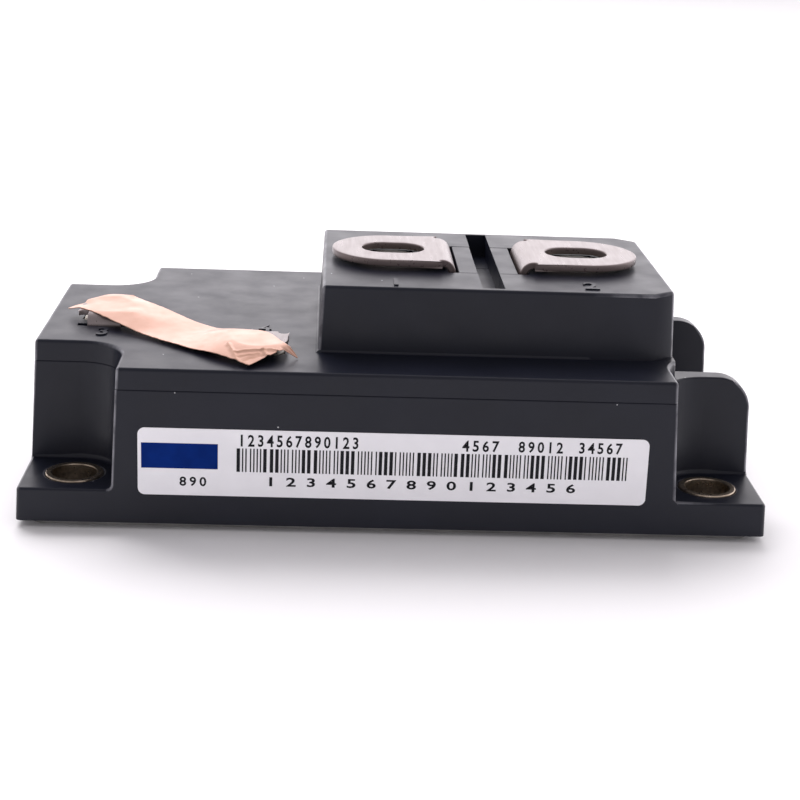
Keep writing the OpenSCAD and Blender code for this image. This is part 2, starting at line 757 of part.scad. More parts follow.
module shorting_foil() color([0.95, 0.72, 0.6]) {
    line = [for (s = [-foil_l / 2:foil_l / 60:foil_l / 2 + eps]) [s, foil_under(s)]];
    translate([foil_at[0], foil_at[1], 0]) rotate(foil_angle)
        translate([0, foil_w / 2, 0]) rotate([90, 0, 0]) linear_extrude(foil_w)
            polygon(concat(line, [for (i = [len(line) - 1:-1:0]) line[i] + [0, foil_t]]));
}

base_plate();
case_frame();
lid();
tower_spacer();
mounting_bushings();
emitter_terminal();
collector_terminal();
power_nuts();
gate_terminal();
sense_terminal();
control_nuts();
gate_lead();
sense_lead();
silicone_gel();
rating_label();
shorting_foil();
link_wires();
for (side = ["left", "right"]) {
    back_copper(side);
    ceramic(side);
    circuit_copper(side);
    bond_wires(side);
}
for (n = [1:4]) {
    transistor_chip(n);
    diode_chip(n);
}
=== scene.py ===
"""A single-switch power transistor module: a low moulded case on a metal base plate, two
screw terminals on a raised tower, two small control terminals under a strip of copper
foil, and a paper label along the front. Metres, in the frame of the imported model."""

import json
import math

import bmesh
import bpy
from mathutils import Matrix, Vector, noise


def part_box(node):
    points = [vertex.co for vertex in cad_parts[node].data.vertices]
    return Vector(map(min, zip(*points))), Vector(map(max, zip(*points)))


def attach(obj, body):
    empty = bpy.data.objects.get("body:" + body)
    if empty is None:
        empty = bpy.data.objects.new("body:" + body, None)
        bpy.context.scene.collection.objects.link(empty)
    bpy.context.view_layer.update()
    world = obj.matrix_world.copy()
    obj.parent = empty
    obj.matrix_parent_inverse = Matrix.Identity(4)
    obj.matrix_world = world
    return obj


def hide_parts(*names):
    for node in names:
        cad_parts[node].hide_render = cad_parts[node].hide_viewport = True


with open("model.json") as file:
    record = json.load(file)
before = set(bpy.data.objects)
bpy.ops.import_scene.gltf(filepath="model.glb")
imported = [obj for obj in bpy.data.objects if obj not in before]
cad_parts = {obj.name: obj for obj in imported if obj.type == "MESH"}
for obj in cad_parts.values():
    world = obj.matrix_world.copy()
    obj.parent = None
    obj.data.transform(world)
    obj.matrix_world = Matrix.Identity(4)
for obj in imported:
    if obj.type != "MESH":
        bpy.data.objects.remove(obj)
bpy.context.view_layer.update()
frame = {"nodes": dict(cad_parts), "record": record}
nodes = frame["nodes"]
mm = 0.001


# ---- Base plate -----------------------------------------------------------------------
# The module stands on a thick copper plate, plated dull grey, that carries the heat away.
# It was rolled and stamped, so fine scratches run along it under the plating.

def finish(name, colour, roughness, metallic=0.0, **sockets):
    """A material whose shader has these values on its own sockets."""
    material = bpy.data.materials.new(name)
    material.use_nodes = True
    shader = material.node_tree.nodes["Principled BSDF"]
    shader.inputs["Base Color"].default_value = (*colour, 1.0)
    shader.inputs["Roughness"].default_value = roughness
    shader.inputs["Metallic"].default_value = metallic
    for socket, value in sockets.items():
        shader.inputs[socket.replace("_", " ")].default_value = value
    return material


def grain(material, lump, detail=3.0, stretch=(1, 1, 1)):
    """Noise on the piece's own coordinates, in lumps about one lump long."""
    tree = material.node_tree
    place = tree.nodes.new("ShaderNodeTexCoord")
    mapping = tree.nodes.new("ShaderNodeMapping")
    mapping.inputs["Scale"].default_value = stretch
    lumps = tree.nodes.new("ShaderNodeTexNoise")
    lumps.inputs["Scale"].default_value = 1.0 / lump
    lumps.inputs["Detail"].default_value = detail
    tree.links.new(place.outputs["Object"], mapping.inputs["Vector"])
    tree.links.new(mapping.outputs["Vector"], lumps.inputs["Vector"])
    return lumps.outputs["Fac"]


def span(material, factor, start, end, low, high):
    """Turns a factor's run from start to end into one from low to high, also in a world."""
    node = material.node_tree.nodes.new("ShaderNodeMapRange")
    for name, value in zip(("From Min", "From Max", "To Min", "To Max"), (start, end, low, high)):
        node.inputs[name].default_value = value
    material.node_tree.links.new(factor, node.inputs["Value"])
    return node.outputs["Result"]


def between(material, factor, low, high, socket="Base Color", start=0.3, end=0.7):
    """Runs a socket of the shader from low to high as the factor rises from start to end."""
    tree = material.node_tree
    shader = tree.nodes["Principled BSDF"]
    if isinstance(low, tuple):
        ramp = tree.nodes.new("ShaderNodeValToRGB")
        for stop, place, colour in zip(ramp.color_ramp.elements, (start, end), (low, high)):
            stop.position = place
            stop.color = (*colour, 1.0)
        tree.links.new(factor, ramp.inputs["Fac"])
        result = ramp.outputs["Color"]
    else:
        result = span(material, factor, start, end, low, high)
    tree.links.new(result, shader.inputs[socket])


def relief(material, factor, height, strength=1.0):
    """Raises the surface by height where the factor is 1, over any relief it already has."""
    tree = material.node_tree
    bump = tree.nodes.new("ShaderNodeBump")
    bump.inputs["Strength"].default_value = strength
    bump.inputs["Distance"].default_value = height
    normal = tree.nodes["Principled BSDF"].inputs["Normal"]
    if normal.is_linked:
        tree.links.new(normal.links[0].from_socket, bump.inputs["Normal"])
    tree.links.new(factor, bump.inputs["Height"])
    tree.links.new(bump.outputs["Normal"], normal)


def dress(piece, material):
    """Gives a piece, or the CAD node of that name, its one material."""
    piece = nodes[piece] if isinstance(piece, str) else piece
    if not piece.data.materials:
        piece.data.materials.append(material)
    for slot in piece.material_slots:
        slot.material = material


nickel = finish("dull_nickel", (0.36, 0.35, 0.35), 0.42, 1.0)
between(nickel, grain(nickel, 6 * mm), (0.29, 0.28, 0.28), (0.42, 0.41, 0.40))
scratches = grain(nickel, 0.4 * mm, stretch=(0.05, 1, 1))
between(nickel, scratches, 0.34, 0.50, "Roughness")
relief(nickel, scratches, 0.01 * mm)
dress("base_plate", nickel)


# ---- Power circuit --------------------------------------------------------------------
# Two white ceramic tiles with copper on both faces are soldered to the base plate. Silicon
# chips sit on them, joined by aluminium bond wires, and clear gel covers the whole.

bare_copper = finish("bonded_copper", (0.80, 0.42, 0.28), 0.38, 1.0)
between(bare_copper, grain(bare_copper, 3 * mm), (0.70, 0.34, 0.22), (0.86, 0.48, 0.33))
relief(bare_copper, grain(bare_copper, 0.3 * mm), 0.01 * mm)

white_ceramic = finish("white_ceramic", (0.88, 0.87, 0.83), 0.55)
between(white_ceramic, grain(white_ceramic, 0.6 * mm), (0.82, 0.81, 0.77), (0.92, 0.91, 0.88))

silicon = finish("chip_metal", (0.46, 0.47, 0.52), 0.24, 0.9)
between(silicon, grain(silicon, 1.5 * mm), (0.40, 0.41, 0.47), (0.56, 0.57, 0.61))

bond_aluminium = finish("wire_aluminium", (0.88, 0.88, 0.89), 0.28, 1.0)
relief(bond_aluminium, grain(bond_aluminium, 0.1 * mm), 0.005 * mm)

clear_gel = finish("clear_gel", (0.93, 0.95, 0.98), 0.08, Transmission_Weight=0.9, IOR=1.41)
relief(clear_gel, grain(clear_gel, 8 * mm), 0.2 * mm, 0.3)

for side in ("left", "right"):
    dress(f"back_copper_{side}", bare_copper)
    dress(f"ceramic_{side}", white_ceramic)
    dress(f"circuit_copper_{side}", bare_copper)
    dress(f"bond_wires_{side}", bond_aluminium)
for number in (1, 2, 3, 4):
    dress(f"transistor_chip_{number}", silicon)
    dress(f"diode_chip_{number}", silicon)
dress("link_wires", bond_aluminium)
dress("silicone_gel", clear_gel)


# ---- Case frame -----------------------------------------------------------------------
# The lower moulding is glass-filled black plastic with a satin skin. The mould leaves every edge
# slightly round, so each one shows as a fine bright line, and a painted highlight runs pale along
# the crests of many of them.

def over(material, factor, colour):
    """Lays a colour over the base colour, fully where the factor is 1."""
    tree = material.node_tree
    base = tree.nodes["Principled BSDF"].inputs["Base Color"]
    mix = tree.nodes.new("ShaderNodeMix")
    mix.data_type = "RGBA"
    mix.inputs["B"].default_value = (*colour, 1.0)
    tree.links.new(base.links[0].from_socket, mix.inputs["A"])
    tree.links.new(factor, mix.inputs["Factor"])
    tree.links.new(mix.outputs["Result"], base)


def drawn(material, name):
    """The value stored on a mesh under this name."""
    node = material.node_tree.nodes.new("ShaderNodeAttribute")
    node.attribute_name = name
    return node.outputs["Fac"]


def both(material, factor, other, operation="MULTIPLY"):
    """Two factors multiplied, or joined in another way."""
    node = material.node_tree.nodes.new("ShaderNodeMath")
    node.operation = operation
    for socket, value in zip(node.inputs, (factor, other)):
        if isinstance(value, float):
            socket.default_value = value
        else:
            material.node_tree.links.new(value, socket)
    return node.outputs["Value"]


def moulded_black(name, colour=(0.0068, 0.0080, 0.0150)):
    """Black satin plastic: faint mottling, a fine grain, pale dust and a painted highlight in pale
    patches along the crests of rounded edges.
    """
    plastic = finish(name, colour, 0.36, Specular_IOR_Level=0.3)
    between(plastic, grain(plastic, 9 * mm), colour, tuple(1.25 * c for c in colour))
    between(plastic, grain(plastic, 5 * mm, 5.0), 0.31, 0.40, "Roughness")
    relief(plastic, grain(plastic, 0.25 * mm, 2.0), 0.004 * mm)
    relief(plastic, grain(plastic, 14 * mm, 1.0), 0.03 * mm)
    # dust: the middles of a few of the cells of a fine cell pattern
    tree = plastic.node_tree
    place = tree.nodes.new("ShaderNodeTexCoord")
    cells = tree.nodes.new("ShaderNodeTexVoronoi")
    cells.inputs["Scale"].default_value = 1.0 / (2.4 * mm)
    chance = tree.nodes.new("ShaderNodeSeparateColor")
    tree.links.new(place.outputs["Object"], cells.inputs["Vector"])
    tree.links.new(cells.outputs["Color"], chance.inputs["Color"])
    middle = both(plastic, cells.outputs["Distance"], 0.05, "LESS_THAN")
    few = both(plastic, chance.outputs["Red"], 0.90, "GREATER_THAN")
    over(plastic, both(plastic, middle, few), (0.45, 0.45, 0.47))
    # painted highlight: the crests of the rounded edges are pale in patches
    patchy = span(plastic, grain(plastic, 3 * mm, 4.0), 0.35, 0.6, 0.25, 0.8)
    over(plastic, both(plastic, drawn(plastic, "edge_highlight"), patchy), (0.30, 0.30, 0.33))
    return plastic


# faces that turn by less than 50 degrees, whose cosine this is, are shaded as one skin
same_way = 0.64


def even_shading(mesh):
    """Gives every corner of a face the mean direction of those faces round it that turn less
    than 50 degrees from its own, counted by their areas: flat faces stay flat."""
    around = [[] for _ in mesh.vertices]
    for face in mesh.polygons:
        for corner in face.vertices:
            around[corner].append((face.normal.copy(), face.area))
    directions = []
    for face in mesh.polygons:
        for corner in face.vertices:
            near = [normal * area for normal, area in around[corner]
                    if normal.dot(face.normal) > same_way]
            directions.append(sum(near, Vector()).normalized())
    mesh.normals_split_custom_set(directions)


def shown_as(mesh_or_bmesh, name, material, slot, *replaced):
    """Makes a finished mesh a piece of the module that may stand for CAD nodes."""
    mesh = bpy.data.meshes.new(name)
    mesh_or_bmesh.to_mesh(mesh)
    mesh_or_bmesh.free()
    piece = bpy.data.objects.new(name, mesh)
    bpy.context.scene.collection.objects.link(piece)
    mesh.shade_smooth()
    even_shading(mesh)
    dress(piece, material)
    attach(piece, "root")
    if replaced:
        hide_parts(*replaced)
    return piece


# corners closer than this are one corner
merged = 0.002 * mm


def joined_copy(node, cuts_x=(), cuts_y=()):
    """A copy of a CAD node with its loose triangles joined into whole flat faces. Cuts across
    it, at these places along X and Y, leave no face with a hole in it."""
    bm = bmesh.new()
    bm.from_mesh(nodes[node].data)
    # each corner's share of the painted edge highlight, none until an edge is rounded
    bm.loops.layers.float.new("edge_highlight")
    bmesh.ops.remove_doubles(bm, verts=bm.verts, dist=merged)
    bmesh.ops.dissolve_limit(bm, angle_limit=math.radians(1), verts=bm.verts, edges=bm.edges,
                             use_dissolve_boundaries=False)
    cuts = [((x, 0, 0), (1, 0, 0)) for x in cuts_x] + [((0, y, 0), (0, 1, 0)) for y in cuts_y]
    for place, normal in cuts:
        bmesh.ops.bisect_plane(bm, geom=bm.verts[:] + bm.edges[:] + bm.faces[:], dist=merged,
                               plane_co=place, plane_no=normal)
    return bm


# an edge is sharp, and a rounded one has a crest, where its faces turn by more than these
sharp_turn, crest_turn = math.radians(30), math.radians(15)
# level edges get this share of the painted highlight where they run front to back
level_highlight = 0.6


def round_edges(bm, radius, chosen, segments=3, outward=True, painted_highlight=False):
    """Rounds the sharp edges that the test picks, on outward or on inward corners. When asked,
    their crests get a painted highlight: upright ones fully, and level ones as they run front to
    back."""
    sharp = [e for e in bm.edges if e.is_manifold and e.is_convex == outward
             and e.calc_face_angle(0) > sharp_turn]
    picked = [e for e in sharp if chosen(*(v.co for v in e.verts))]
    rounded = bmesh.ops.bevel(bm, geom=picked, offset=radius, offset_type="OFFSET", affect="EDGES",
                              segments=segments, profile=0.5, material=-1, clamp_overlap=False)
    if not painted_highlight:
        return
    edge_highlight = bm.loops.layers.float["edge_highlight"]
    bands = set(rounded["faces"])
    bm.normal_update()
    for edge in {edge for band in bands for edge in band.edges}:
        if edge.calc_face_angle(0) <= crest_turn or not bands.issuperset(edge.link_faces):
            continue
        way = (edge.verts[0].co - edge.verts[1].co).normalized()
        highlight_share = max(abs(way.z), level_highlight * way.y ** 2)
        for loop in (loop for face in edge.link_faces for loop in face.loops):
            if loop.vert in edge.verts:
                loop[edge_highlight] = max(loop[edge_highlight], highlight_share)


# the flanges' tops, the seam under the lid and the lid's top, from pieces that stand off them
bushing_rise, rib_rise, seat_gap = 0.15 * mm, 0.2 * mm, 0.02 * mm
flange_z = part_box("mounting_bushings")[1].z - bushing_rise
seam_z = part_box("case_frame")[1].z - rib_rise
lid_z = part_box("control_nuts")[1].z + seat_gap
frame_foot_z = 1.2 * mm
below_seam = seam_z - 1 * mm
tower_from_z = lid_z + 0.3 * mm
level_play = 0.1 * mm
# beyond these lines a corner is on the outline of the case, or of the tower
wall_y, notch_x, notch_y, end_x = 26 * mm, 39 * mm, 14 * mm, -52 * mm
tower_left, tower_right, tower_y = -9.5 * mm, 36.5 * mm, 18.9 * mm


def on_outline(corner):
    """Whether a corner of the frame or lid is on the case's outline or on the tower's."""
    x, y = corner.x, abs(corner.y)
    if corner.z > tower_from_z:
        return y > tower_y or x < tower_left or x > tower_right
    return y > wall_y or (abs(x) > notch_x and y > notch_y) or x < end_x


def level_with(a, b, height):
    """Whether an edge from a to b lies at this height."""
    return max(abs(a.z - height), abs(b.z - height)) < level_play


def rubbed_frame_edge(a, b):
    """Whether a frame edge is a flange's, or an upright one that ends at the seam."""
    low, high = min(a.z, b.z), max(a.z, b.z)
    on_corner = low < below_seam and on_outline(a) and on_outline(b)
    return low > frame_foot_z and (high < below_seam or on_corner)


screws = {mount["name"]: Vector(mount["pos_m"]) for mount in frame["record"]["mounts"]}
spacing = {mount["name"]: mount["dims"] for mount in frame["record"]["mounts"]}
hole_x = spacing["heat_sink_screws"]["spacing_x_mm"] / 2 * mm
case = joined_copy("case_frame", (-hole_x, hole_x), (0,))
case_plastic = moulded_black("frame_plastic")
wall_fillet, flange_edge, rim_edge = 0.7 * mm, 0.4 * mm, 0.25 * mm
round_edges(case, wall_fillet, lambda a, b: level_with(a, b, flange_z), 4, outward=False)
# the flanges' edges and the case's corners get a painted highlight along their crests
round_edges(case, flange_edge, rubbed_frame_edge, painted_highlight=True)
round_edges(case, rim_edge, lambda a, b: min(a.z, b.z) > below_seam)
shown_as(case, "moulded_frame", case_plastic, "case_plastic", "case_frame")


# ---- Mounting bushings ----------------------------------------------------------------
# Short brass sleeves are pressed into the four corner flanges, so that the screws clamp on
# metal. Their rims are turned and slightly tarnished.

brass = finish("tarnished_brass", (0.46, 0.38, 0.29), 0.34, 1.0)
tarnish = grain(brass, 1.2 * mm, 6.0)
between(brass, tarnish, (0.20, 0.16, 0.12), (0.66, 0.55, 0.43))
between(brass, tarnish, 0.45, 0.24, "Roughness")
relief(brass, grain(brass, 0.15 * mm), 0.01 * mm)
bushings = joined_copy("mounting_bushings")
bushing_edge = 0.2 * mm
round_edges(bushings, bushing_edge, lambda a, b: min(a.z, b.z) > flange_z)
shown_as(bushings, "pressed_bushings", brass, "bushing_metal", "mounting_bushings")


# ---- Lid and spacer -------------------------------------------------------------------
# The lid carries the terminal tower and snaps into the frame. The spacer that parts the two
# power legs is a loose moulding of the same plastic, set flush with the tower's roof.

lid_plastic = moulded_black("lid_plastic")
tower_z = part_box("lid")[1].z
power_half = spacing["busbar_screws"]["spacing_x_mm"] / 2 * mm
power_x = [screws["busbar_screws"].x + side * power_half for side in (-1, 1)]
tower_foot_end = 36 * mm
seam_low, seam_high = seam_z - 0.6 * mm, seam_z + 1 * mm
tower_fillet, lid_edge, spacer_edge = 0.4 * mm, 0.5 * mm, 0.15 * mm


def tower_foot_edge(a, b):
    """Whether a lid edge lies at the foot of the tower's walls."""
    return level_with(a, b, lid_z) and max(a.x, b.x) < tower_foot_end


def rubbed_lid_edge(a, b):
    """Whether a lid edge is on the outline, and rises clear of the seam."""
    clear_of_seam = min(a.z, b.z) > seam_low and max(a.z, b.z) > seam_high
    return clear_of_seam and on_outline(a) and on_outline(b)


lid = joined_copy("lid", (screws["sense_screw"].x, screws["gate_screw"].x, *power_x), (0,))
round_edges(lid, tower_fillet, tower_foot_edge, 4, outward=False)
# the lid's outline edges get a painted highlight along their crests
round_edges(lid, lid_edge, rubbed_lid_edge, painted_highlight=True)
shown_as(lid, "moulded_lid", lid_plastic, "case_plastic", "lid")
spacer = joined_copy("tower_spacer")
round_edges(spacer, spacer_edge, lambda a, b: min(a.z, b.z) > tower_z - level_play)
shown_as(spacer, "leg_spacer", lid_plastic, "case_plastic", "tower_spacer")


# ---- Terminals and nuts ---------------------------------------------------------------
# Each terminal is stamped from copper strip, tinned, and bent down through the lid. Steel
# nuts lie loose under them in hexagonal pockets.

def tinned_metal(name):
    """Dull tin over copper strip, with fine marks of rolling along it."""
    metal = finish(name, (0.29, 0.245, 0.24), 0.30, 0.45)
    between(metal, grain(metal, 4 * mm, 4.0), (0.265, 0.22, 0.215), (0.315, 0.27, 0.265))
    rolling = grain(metal, 0.5 * mm, 4.0, (1, 0.08, 1))
    between(metal, rolling, 0.26, 0.36, "Roughness")
    relief(metal, rolling, 0.008 * mm)
    return metal


tinned = tinned_metal("tinned_copper")
# the thick power terminals carry painted shade: darker on every face that turns away from straight
# up
side_shaded_tinned = tinned_metal("side_shaded_tinned_copper")
facing = side_shaded_tinned.node_tree.nodes.new("ShaderNodeNewGeometry")
upward = side_shaded_tinned.node_tree.nodes.new("ShaderNodeSeparateXYZ")
side_shaded_tinned.node_tree.links.new(facing.outputs["Normal"], upward.inputs["Vector"])
over(side_shaded_tinned, span(side_shaded_tinned, upward.outputs["Z"], 0.3, 0.8, 1.0, 0.0), (0.17, 0.135, 0.13))

power_edge, control_edge = 0.22 * mm, 0.12 * mm
for node, radius, metal in (("emitter_terminal", power_edge, side_shaded_tinned),
                            ("collector_terminal", power_edge, side_shaded_tinned),
                            ("sense_terminal", control_edge, tinned),
                            ("gate_terminal", control_edge, tinned)):
    terminal = joined_copy(node)
    round_edges(terminal, radius, lambda a, b: min(a.z, b.z) > lid_z, 2)
    shown_as(terminal, f"stamped_{node}", metal, "tinned_copper", node)

steel = finish("zinced_steel", (0.42, 0.38, 0.32), 0.35, 1.0)
between(steel, grain(steel, 0.8 * mm, 5.0), (0.30, 0.26, 0.20), (0.50, 0.46, 0.40))
for node in ("power_nuts", "control_nuts"):
    dress(node, steel)

for node, name, colour in (("sense_lead", "red_sleeve", (0.55, 0.03, 0.03)),
                           ("gate_lead", "white_sleeve", (0.80, 0.80, 0.78))):
    sleeve = finish(name, colour, 0.42)
    relief(sleeve, grain(sleeve, 0.5 * mm), 0.02 * mm)
    dress(node, sleeve)


# ---- Label ----------------------------------------------------------------------------
# A paper label under clear film is stuck to the front wall, which leans back a little. It is
# printed in black ink beside a bare blue field: plain digits in counting order over stripes.

paper = finish("label_paper", (0.92, 0.91, 0.945), 0.5, Coat_Weight=0.2, Coat_Roughness=0.25)
between(paper, grain(paper, 5 * mm), (0.90, 0.89, 0.925), (0.95, 0.94, 0.975))
relief(paper, grain(paper, 0.3 * mm), 0.01 * mm)
dress("rating_label", paper)

black_ink = finish("black_ink", (0.010, 0.010, 0.013), 0.5, Specular_IOR_Level=0.12)
between(black_ink, grain(black_ink, 0.3 * mm), (0.006, 0.006, 0.009), (0.018, 0.018, 0.022))
blue_ink = finish("blue_ink", (0.001, 0.021, 0.17), 0.5, Specular_IOR_Level=0.05)
between(blue_ink, grain(blue_ink, 2 * mm), (0.0008, 0.018, 0.15), (0.0015, 0.024, 0.19))

label_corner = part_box("rating_label")[0]
wall_lean = math.radians(1)
up_wall = Vector((0, math.sin(wall_lean), math.cos(wall_lean)))
off_wall = Vector((0, -math.cos(wall_lean), math.sin(wall_lean)))
on_wall = Matrix((Vector((1, 0, 0)), up_wall, off_wall)).transposed().to_4x4()
on_label = Matrix.Translation(label_corner) @ on_wall @ Matrix.Scale(mm, 4)
# on the label, lengths are in millimetres; the ink stands this far off the paper
ink_t = 0.02
# the plain letter shape is made bolder by this share of its size, and a 0 has this width
thicker_line = 0.022
zero_w_to_h = 0.78


def digit_shape(number, width, height, thickness):
    """The mesh of a plain digit, centred over the origin from side to side; a 1 is narrow."""
    letters = bpy.data.curves.new("digit", "FONT")
    letters.body = str(number)
    letters.resolution_u = 3
    letters.extrude = 0.5
    letters.offset = thicker_line
    holder = bpy.data.objects.new("digit", letters)
    shape = bpy.data.meshes.new_from_object(holder)
    low, high = (Vector([pick(v.co[axis] for v in shape.vertices) for axis in range(3)])
                 for pick in (min, max))
    size = high - low
    zero_w = zero_w_to_h * size.y
    to_size = Matrix.Diagonal((width / zero_w, height / size.y, thickness / size.z, 1))
    shape.transform(to_size @ Matrix.Translation((-(low.x + high.x) / 2, -low.y, -low.z)))
    bpy.data.objects.remove(holder)
    bpy.data.curves.remove(letters)
    return shape


def print_row(bm, first, count, start, low, step, width, height):
    """Prints a row of counting digits on the label, in millimetres from its lower left corner."""
    for i in range(count):
        shape = digit_shape((first + i) % 10, width, height, 2 * ink_t)
        shape.transform(on_label @ Matrix.Translation((start + i * step + width / 2, low, -ink_t)))
        bm.from_mesh(shape)
        bpy.data.meshes.remove(shape)


def print_block(bm, start, end, low, high):
    """Prints a solid rectangle on the label."""
    middle = Vector(((start + end) / 2, (low + high) / 2, 0))
    bmesh.ops.create_cube(bm, size=1, matrix=on_label @ Matrix.Translation(middle)
                          @ Matrix.Diagonal((end - start, high - low, 2 * ink_t, 1)))


print_black = bmesh.new()
for row in (dict(first=1, count=13, start=14.1, low=7.5, step=1.34, width=1.1, height=1.75),
            dict(first=4, count=4, start=45.8, low=7.55, step=1.42, width=1.15, height=1.65),
            dict(first=8, count=5, start=53.8, low=7.6, step=1.36, width=1.1, height=1.65),
            dict(first=3, count=5, start=62.4, low=7.65, step=1.33, width=1.1, height=1.65),
            dict(first=8, count=3, start=5.8, low=1.4, step=1.42, width=1.15, height=1.4),
            dict(first=1, count=16, start=18.0, low=1.65, step=2.86, width=1.65, height=1.35)):
    print_row(print_black, **row)

# the stripes' widths and gaps follow a counting rule and spell nothing
stripe_at, stripes_end = 13.95, 69.8
stripes_low, stripes_high = 3.7, 7.2
wide_stripe, thin_stripe = 0.48, 0.19
wide_gap, thin_gap = 0.46, 0.28
stripe = 0
while stripe_at < stripes_end:
    stripe_w = wide_stripe if (stripe * stripe + stripe // 3) % 3 == 0 else thin_stripe
    print_block(print_black, stripe_at, stripe_at + stripe_w, stripes_low, stripes_high)
    stripe_at += stripe_w + (wide_gap if stripe % 5 == 2 else thin_gap)
    stripe += 1
same_corner = 0.0005 * mm
bmesh.ops.remove_doubles(print_black, verts=print_black.verts, dist=same_corner)
shown_as(print_black, "label_print", black_ink, "label_film")

print_blue = bmesh.new()
print_block(print_blue, start=0.5, end=11.3, low=4.0, high=7.75)
shown_as(print_blue, "label_blue_field", blue_ink, "label_film")


# ---- Numerals -------------------------------------------------------------------------
# The mould leaves a raised numeral beside each of the four screws, in the lid's own plastic.
# Its place and size are in millimetres, right of and behind the screw's middle.

numeral_t = 0.3
sunk = 0.08 * mm
left_screw, right_screw = (Vector((x, 0, 0)) for x in power_x)
numerals = bmesh.new()
for number, screw, (right_by, back_by), (width, height), floor_z in (
        (1, left_screw, (0, -16.4), (2.6, 4.0), tower_z),
        (2, right_screw, (0.3, -15.6), (2.6, 4.0), tower_z),
        (3, screws["sense_screw"], (0.3, -9.2), (2.3, 4.0), lid_z),
        (4, screws["gate_screw"], (0.2, 11.4), (2.2, 3.6), lid_z)):
    shape = digit_shape(number, width, height, numeral_t)
    foot = Vector((screw.x + right_by * mm, screw.y + (back_by - height / 2) * mm, floor_z - sunk))
    shape.transform(Matrix.Translation(foot) @ Matrix.Scale(mm, 4))
    numerals.from_mesh(shape)
    bpy.data.meshes.remove(shape)
bmesh.ops.remove_doubles(numerals, verts=numerals.verts, dist=merged)
shown_as(numerals, "raised_numerals", lid_plastic, "case_plastic")


# ---- Shorting foil --------------------------------------------------------------------
# A strip of thin bare copper, cut by hand, ties the gate to the sense terminal. It is draped
# over both plates, sags almost to the lid between them, and is crushed at its front corner.

foil_low, foil_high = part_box("shorting_foil")
foil_turn = math.radians(-42)
foil_along = Vector((math.cos(foil_turn), math.sin(foil_turn), 0))
foil_across = Vector((-math.sin(foil_turn), math.cos(foil_turn), 0))
foil_middle = (foil_low + foil_high) / 2
foil_l, foil_w = 39.0, 11.2
foil_t = 0.11 * mm
plate_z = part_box("sense_terminal")[1].z
plate_r, plate_flat = 4.05 * mm, 3.8 * mm
# how far its middle lies above the plates and, at least, above the lid
on_plate, on_lid = 0.08 * mm, 0.12 * mm
# how steeply it falls away beyond the two plates, and how softly it bends there
sense_fall, gate_fall = 0.175, 0.25
soft_bend = 0.5 * mm
# its height over the lid between the plates, at the front edge, and how much the back is lower
hang_rise, hang_tilt = 0.50, 0.34
# its hand-cut outline, and the bends of its ends, in millimetres
ragged_end, ragged_side, waviness = 0.12, 0.10, 0.05
tongue, rounded_off, askew = 0.8, 2.0, 5.2
back_curl, middle_curl, front_droop = 0.38, 0.15, 0.35
tip_out, tip_back, tip_down = 1.3, 0.9, 1.0


def smooth_rise(x, start, end):
    """0 before start, 1 after end, and a smooth rise between."""
    t = min(max((x - start) / (end - start), 0.0), 1.0)
    return t * t * (3 - 2 * t)


def hump(x, start, end):
    """A smooth hump that is 1 half way from start to end."""
    middle = (start + end) / 2
    return smooth_rise(x, start, middle) * (1 - smooth_rise(x, middle, end))


def higher(a, b, blend=0.35 * mm):
    """The greater of two heights, with a soft bend where they cross."""
    near = max(blend - abs(a - b), 0) / blend
    return max(a, b) + near * near * blend / 4


def past_plate(place, screw, leg_way):
    """How far a place lies outside a control plate, whose leg is towards leg_way along Y."""
    across = abs(place.x - screw.x)
    along = (place.y - screw.y) * leg_way
    if along > 0:
        away = math.hypot(max(across - plate_r, 0), max(along - plate_flat, 0))
    else:
        away = max(math.hypot(across, along) - plate_r, 0)
    return math.hypot(away, soft_bend) - soft_bend


# the creases of the crushed corner: start, end, height and half width, in millimetres along
# the foil from its middle and across it from its front edge
creases = (((12.4, 3.0), (16.9, 0.2), 0.22, 0.50), ((15.3, 1.7), (19.4, 6.2), 0.22, 0.50),
           ((17.8, 4.5), (19.6, 3.7), 0.20, 0.45), ((16.6, 1.0), (18.2, 3.4), 0.14, 0.40),
           ((17.9, 0.5), (18.9, 3.2), -0.12, 0.50))
wander = 0.25


def crease_height(along, across):
    """How far the creases lift the foil at a place, or press it down, in millimetres."""
    place = Vector((along + wander * noise.noise(Vector((along, across, 2.0))), across, 0))
    height = 0.0
    for start, end, crest, half in creases:
        start, end = Vector((*start, 0)), Vector((*end, 0))
        reach = min(max((place - start).dot(end - start) / (end - start).length_squared, 0), 1)
        away = (place - start.lerp(end, reach)).length
        height += crest * max(1 - away / half, 0)
    return height


